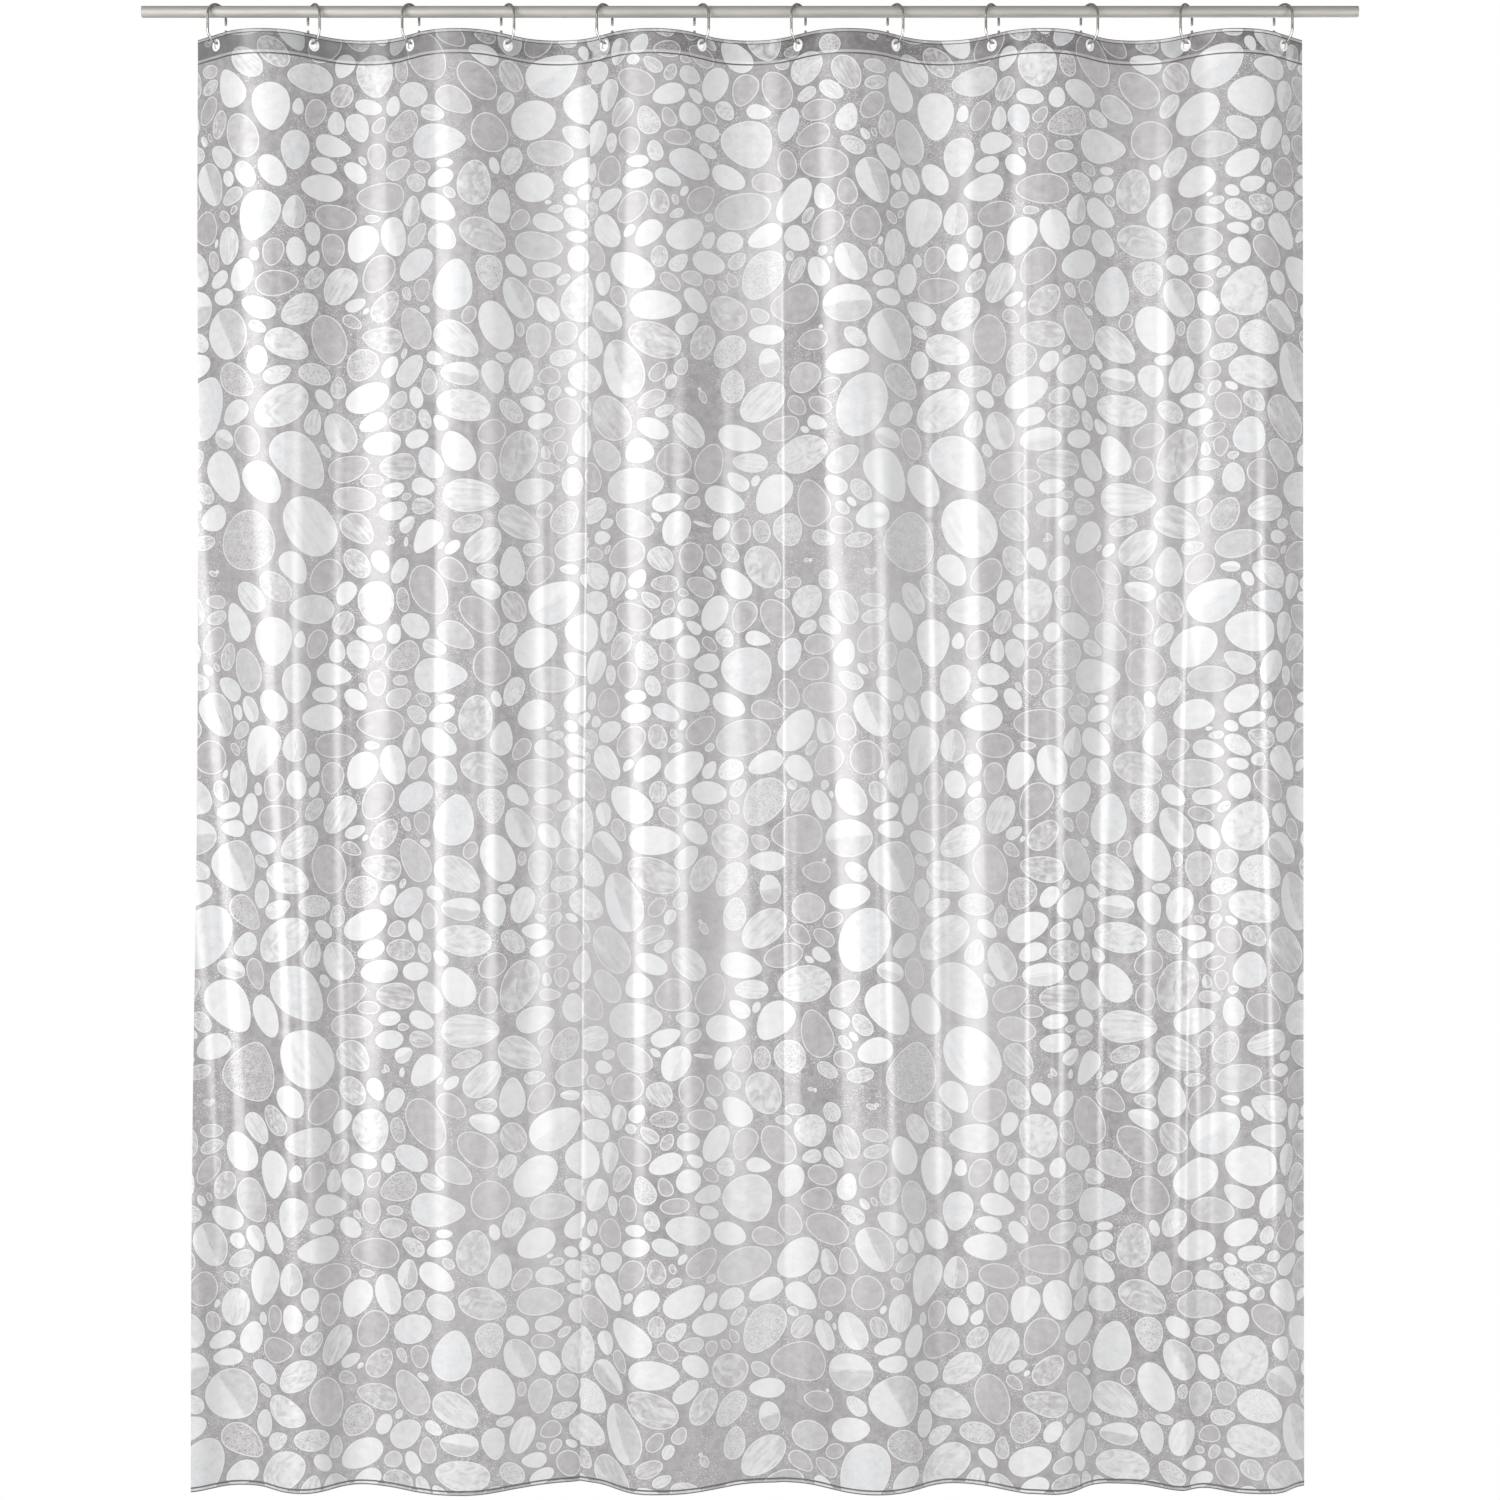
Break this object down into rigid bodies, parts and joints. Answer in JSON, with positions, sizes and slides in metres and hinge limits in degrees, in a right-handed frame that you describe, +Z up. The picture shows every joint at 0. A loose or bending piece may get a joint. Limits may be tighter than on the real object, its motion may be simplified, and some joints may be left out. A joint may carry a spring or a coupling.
{
  "type": "shower curtain",
  "caption": "Printed translucent vinyl shower curtain with a pebble pattern, hung in soft folds from a round steel rod by open wire rings through plastic eyelets.",
  "frame": {"origin": "on the rod's axis, half way along the rod", "axes": "+X along the rod to the viewer's right, +Z up, the room on the -Y side and the bath on the +Y side"},
  "size_m": [1.672, 0.07, 2.0428],
  "materials": {
    "rod_steel": "satin ground steel tube",
    "ring_wire": "bright plated wire, slightly smoky",
    "eyelet_plastic": "glossy white moulded plastic",
    "printed_film": "glossy translucent film printed with grey and white pebbles"
  },
  "bodies": {
    "rod": {"curtain_rod": "rod_steel"},
    "ring_01": {"ring_01": "ring_wire"},
    "panel_01": {"film_panel_01": "printed_film", "eyelet_front_01": "eyelet_plastic", "eyelet_back_01": "eyelet_plastic"},
    "ring_02": {"ring_02": "ring_wire"},
    "panel_02": {"film_panel_02": "printed_film", "eyelet_front_02": "eyelet_plastic", "eyelet_back_02": "eyelet_plastic"},
    "ring_03": {"ring_03": "ring_wire"},
    "panel_03": {"film_panel_03": "printed_film", "eyelet_front_03": "eyelet_plastic", "eyelet_back_03": "eyelet_plastic"},
    "ring_04": {"ring_04": "ring_wire"},
    "panel_04": {"film_panel_04": "printed_film", "eyelet_front_04": "eyelet_plastic", "eyelet_back_04": "eyelet_plastic"},
    "ring_05": {"ring_05": "ring_wire"},
    "panel_05": {"film_panel_05": "printed_film", "eyelet_front_05": "eyelet_plastic", "eyelet_back_05": "eyelet_plastic"},
    "ring_06": {"ring_06": "ring_wire"},
    "panel_06": {"film_panel_06": "printed_film", "eyelet_front_06": "eyelet_plastic", "eyelet_back_06": "eyelet_plastic"},
    "ring_07": {"ring_07": "ring_wire"},
    "panel_07": {"film_panel_07": "printed_film", "eyelet_front_07": "eyelet_plastic", "eyelet_back_07": "eyelet_plastic"},
    "ring_08": {"ring_08": "ring_wire"},
    "panel_08": {"film_panel_08": "printed_film", "eyelet_front_08": "eyelet_plastic", "eyelet_back_08": "eyelet_plastic"},
    "ring_09": {"ring_09": "ring_wire"},
    "panel_09": {"film_panel_09": "printed_film", "eyelet_front_09": "eyelet_plastic", "eyelet_back_09": "eyelet_plastic"},
    "ring_10": {"ring_10": "ring_wire"},
    "panel_10": {"film_panel_10": "printed_film", "eyelet_front_10": "eyelet_plastic", "eyelet_back_10": "eyelet_plastic"},
    "ring_11": {"ring_11": "ring_wire"},
    "panel_11": {"film_panel_11": "printed_film", "eyelet_front_11": "eyelet_plastic", "eyelet_back_11": "eyelet_plastic"},
    "ring_12": {"ring_12": "ring_wire"},
    "panel_12": {"film_panel_12": "printed_film", "eyelet_front_12": "eyelet_plastic", "eyelet_back_12": "eyelet_plastic"},
    "fold_01": {"film_fold_01": "printed_film"},
    "fold_02": {"film_fold_02": "printed_film"},
    "fold_03": {"film_fold_03": "printed_film"},
    "fold_04": {"film_fold_04": "printed_film"},
    "fold_05": {"film_fold_05": "printed_film"},
    "fold_06": {"film_fold_06": "printed_film"},
    "fold_07": {"film_fold_07": "printed_film"},
    "fold_08": {"film_fold_08": "printed_film"},
    "fold_09": {"film_fold_09": "printed_film"},
    "fold_10": {"film_fold_10": "printed_film"},
    "fold_11": {"film_fold_11": "printed_film"}
  },
  "joints": [
    {"name": "curtain_slide", "type": "slide", "parent": "rod", "child": "ring_01", "axis": [1, 0, 0], "range_m": [-0.04, 0.04]},
    {"name": "curtain_swing", "type": "hinge", "parent": "ring_01", "child": "panel_01", "pos_m": [-0.73315, 0, -0.0431], "axis": [1, 0, 0], "range_deg": [-12, 12]},
    {"name": "curtain_draw", "type": "slide", "parent": "panel_01", "child": "fold_01", "axis": [-0.7635, -0.6458, 0], "range_m": [0, 0.048]},
    {"name": "draw_panel_02", "type": "slide", "parent": "fold_01", "child": "panel_02", "axis": [-0.7635, 0.6458, 0], "range_m": [0, 0.048]},
    {"name": "draw_fold_02", "type": "slide", "parent": "panel_02", "child": "fold_02", "axis": [-0.7635, 0.6458, 0], "range_m": [0, 0.048]},
    {"name": "draw_panel_03", "type": "slide", "parent": "fold_02", "child": "panel_03", "axis": [-0.7635, -0.6458, 0], "range_m": [0, 0.048]},
    {"name": "draw_fold_03", "type": "slide", "parent": "panel_03", "child": "fold_03", "axis": [-0.7635, -0.6458, 0], "range_m": [0, 0.048]},
    {"name": "draw_panel_04", "type": "slide", "parent": "fold_03", "child": "panel_04", "axis": [-0.7635, 0.6458, 0], "range_m": [0, 0.048]},
    {"name": "draw_fold_04", "type": "slide", "parent": "panel_04", "child": "fold_04", "axis": [-0.7635, 0.6458, 0], "range_m": [0, 0.048]},
    {"name": "draw_panel_05", "type": "slide", "parent": "fold_04", "child": "panel_05", "axis": [-0.7635, -0.6458, 0], "range_m": [0, 0.048]},
    {"name": "draw_fold_05", "type": "slide", "parent": "panel_05", "child": "fold_05", "axis": [-0.7635, -0.6458, 0], "range_m": [0, 0.048]},
    {"name": "draw_panel_06", "type": "slide", "parent": "fold_05", "child": "panel_06", "axis": [-0.7635, 0.6458, 0], "range_m": [0, 0.048]},
    {"name": "draw_fold_06", "type": "slide", "parent": "panel_06", "child": "fold_06", "axis": [-0.7635, 0.6458, 0], "range_m": [0, 0.048]},
    {"name": "draw_panel_07", "type": "slide", "parent": "fold_06", "child": "panel_07", "axis": [-0.7635, -0.6458, 0], "range_m": [0, 0.048]},
    {"name": "draw_fold_07", "type": "slide", "parent": "panel_07", "child": "fold_07", "axis": [-0.7635, -0.6458, 0], "range_m": [0, 0.048]},
    {"name": "draw_panel_08", "type": "slide", "parent": "fold_07", "child": "panel_08", "axis": [-0.7635, 0.6458, 0], "range_m": [0, 0.048]},
    {"name": "draw_fold_08", "type": "slide", "parent": "panel_08", "child": "fold_08", "axis": [-0.7635, 0.6458, 0], "range_m": [0, 0.048]},
    {"name": "draw_panel_09", "type": "slide", "parent": "fold_08", "child": "panel_09", "axis": [-0.7635, -0.6458, 0], "range_m": [0, 0.048]},
    {"name": "draw_fold_09", "type": "slide", "parent": "panel_09", "child": "fold_09", "axis": [-0.7635, -0.6458, 0], "range_m": [0, 0.048]},
    {"name": "draw_panel_10", "type": "slide", "parent": "fold_09", "child": "panel_10", "axis": [-0.7635, 0.6458, 0], "range_m": [0, 0.048]},
    {"name": "draw_fold_10", "type": "slide", "parent": "panel_10", "child": "fold_10", "axis": [-0.7635, 0.6458, 0], "range_m": [0, 0.048]},
    {"name": "draw_panel_11", "type": "slide", "parent": "fold_10", "child": "panel_11", "axis": [-0.7635, -0.6458, 0], "range_m": [0, 0.048]},
    {"name": "draw_fold_11", "type": "slide", "parent": "panel_11", "child": "fold_11", "axis": [-0.7635, -0.6458, 0], "range_m": [0, 0.048]},
    {"name": "draw_panel_12", "type": "slide", "parent": "fold_11", "child": "panel_12", "axis": [-0.7635, 0.6458, 0], "range_m": [0, 0.048]},
    {"name": "ring_02_hang", "type": "hinge", "parent": "panel_02", "child": "ring_02", "pos_m": [-0.59985, 0, -0.0431], "axis": [1, 0, 0], "range_deg": [-12, 12]},
    {"name": "ring_03_hang", "type": "hinge", "parent": "panel_03", "child": "ring_03", "pos_m": [-0.46655, 0, -0.0431], "axis": [1, 0, 0], "range_deg": [-12, 12]},
    {"name": "ring_04_hang", "type": "hinge", "parent": "panel_04", "child": "ring_04", "pos_m": [-0.33325, 0, -0.0431], "axis": [1, 0, 0], "range_deg": [-12, 12]},
    {"name": "ring_05_hang", "type": "hinge", "parent": "panel_05", "child": "ring_05", "pos_m": [-0.19995, 0, -0.0431], "axis": [1, 0, 0], "range_deg": [-12, 12]},
    {"name": "ring_06_hang", "type": "hinge", "parent": "panel_06", "child": "ring_06", "pos_m": [-0.06665, 0, -0.0431], "axis": [1, 0, 0], "range_deg": [-12, 12]},
    {"name": "ring_07_hang", "type": "hinge", "parent": "panel_07", "child": "ring_07", "pos_m": [0.06665, 0, -0.0431], "axis": [1, 0, 0], "range_deg": [-12, 12]},
    {"name": "ring_08_hang", "type": "hinge", "parent": "panel_08", "child": "ring_08", "pos_m": [0.19995, 0, -0.0431], "axis": [1, 0, 0], "range_deg": [-12, 12]},
    {"name": "ring_09_hang", "type": "hinge", "parent": "panel_09", "child": "ring_09", "pos_m": [0.33325, 0, -0.0431], "axis": [1, 0, 0], "range_deg": [-12, 12]},
    {"name": "ring_10_hang", "type": "hinge", "parent": "panel_10", "child": "ring_10", "pos_m": [0.46655, 0, -0.0431], "axis": [1, 0, 0], "range_deg": [-12, 12]},
    {"name": "ring_11_hang", "type": "hinge", "parent": "panel_11", "child": "ring_11", "pos_m": [0.59985, 0, -0.0431], "axis": [1, 0, 0], "range_deg": [-12, 12]},
    {"name": "ring_12_hang", "type": "hinge", "parent": "panel_12", "child": "ring_12", "pos_m": [0.73315, 0, -0.0431], "axis": [1, 0, 0], "range_deg": [-12, 12]}
  ],
  "couplings": [
    {"joint": "draw_panel_02", "follows": "curtain_draw", "ratio": 1},
    {"joint": "draw_fold_02", "follows": "curtain_draw", "ratio": 1},
    {"joint": "draw_panel_03", "follows": "curtain_draw", "ratio": 1},
    {"joint": "draw_fold_03", "follows": "curtain_draw", "ratio": 1},
    {"joint": "draw_panel_04", "follows": "curtain_draw", "ratio": 1},
    {"joint": "draw_fold_04", "follows": "curtain_draw", "ratio": 1},
    {"joint": "draw_panel_05", "follows": "curtain_draw", "ratio": 1},
    {"joint": "draw_fold_05", "follows": "curtain_draw", "ratio": 1},
    {"joint": "draw_panel_06", "follows": "curtain_draw", "ratio": 1},
    {"joint": "draw_fold_06", "follows": "curtain_draw", "ratio": 1},
    {"joint": "draw_panel_07", "follows": "curtain_draw", "ratio": 1},
    {"joint": "draw_fold_07", "follows": "curtain_draw", "ratio": 1},
    {"joint": "draw_panel_08", "follows": "curtain_draw", "ratio": 1},
    {"joint": "draw_fold_08", "follows": "curtain_draw", "ratio": 1},
    {"joint": "draw_panel_09", "follows": "curtain_draw", "ratio": 1},
    {"joint": "draw_fold_09", "follows": "curtain_draw", "ratio": 1},
    {"joint": "draw_panel_10", "follows": "curtain_draw", "ratio": 1},
    {"joint": "draw_fold_10", "follows": "curtain_draw", "ratio": 1},
    {"joint": "draw_panel_11", "follows": "curtain_draw", "ratio": 1},
    {"joint": "draw_fold_11", "follows": "curtain_draw", "ratio": 1},
    {"joint": "draw_panel_12", "follows": "curtain_draw", "ratio": 1},
    {"joint": "ring_02_hang", "follows": "curtain_swing", "ratio": -1},
    {"joint": "ring_03_hang", "follows": "curtain_swing", "ratio": -1},
    {"joint": "ring_04_hang", "follows": "curtain_swing", "ratio": -1},
    {"joint": "ring_05_hang", "follows": "curtain_swing", "ratio": -1},
    {"joint": "ring_06_hang", "follows": "curtain_swing", "ratio": -1},
    {"joint": "ring_07_hang", "follows": "curtain_swing", "ratio": -1},
    {"joint": "ring_08_hang", "follows": "curtain_swing", "ratio": -1},
    {"joint": "ring_09_hang", "follows": "curtain_swing", "ratio": -1},
    {"joint": "ring_10_hang", "follows": "curtain_swing", "ratio": -1},
    {"joint": "ring_11_hang", "follows": "curtain_swing", "ratio": -1},
    {"joint": "ring_12_hang", "follows": "curtain_swing", "ratio": -1}
  ]
}
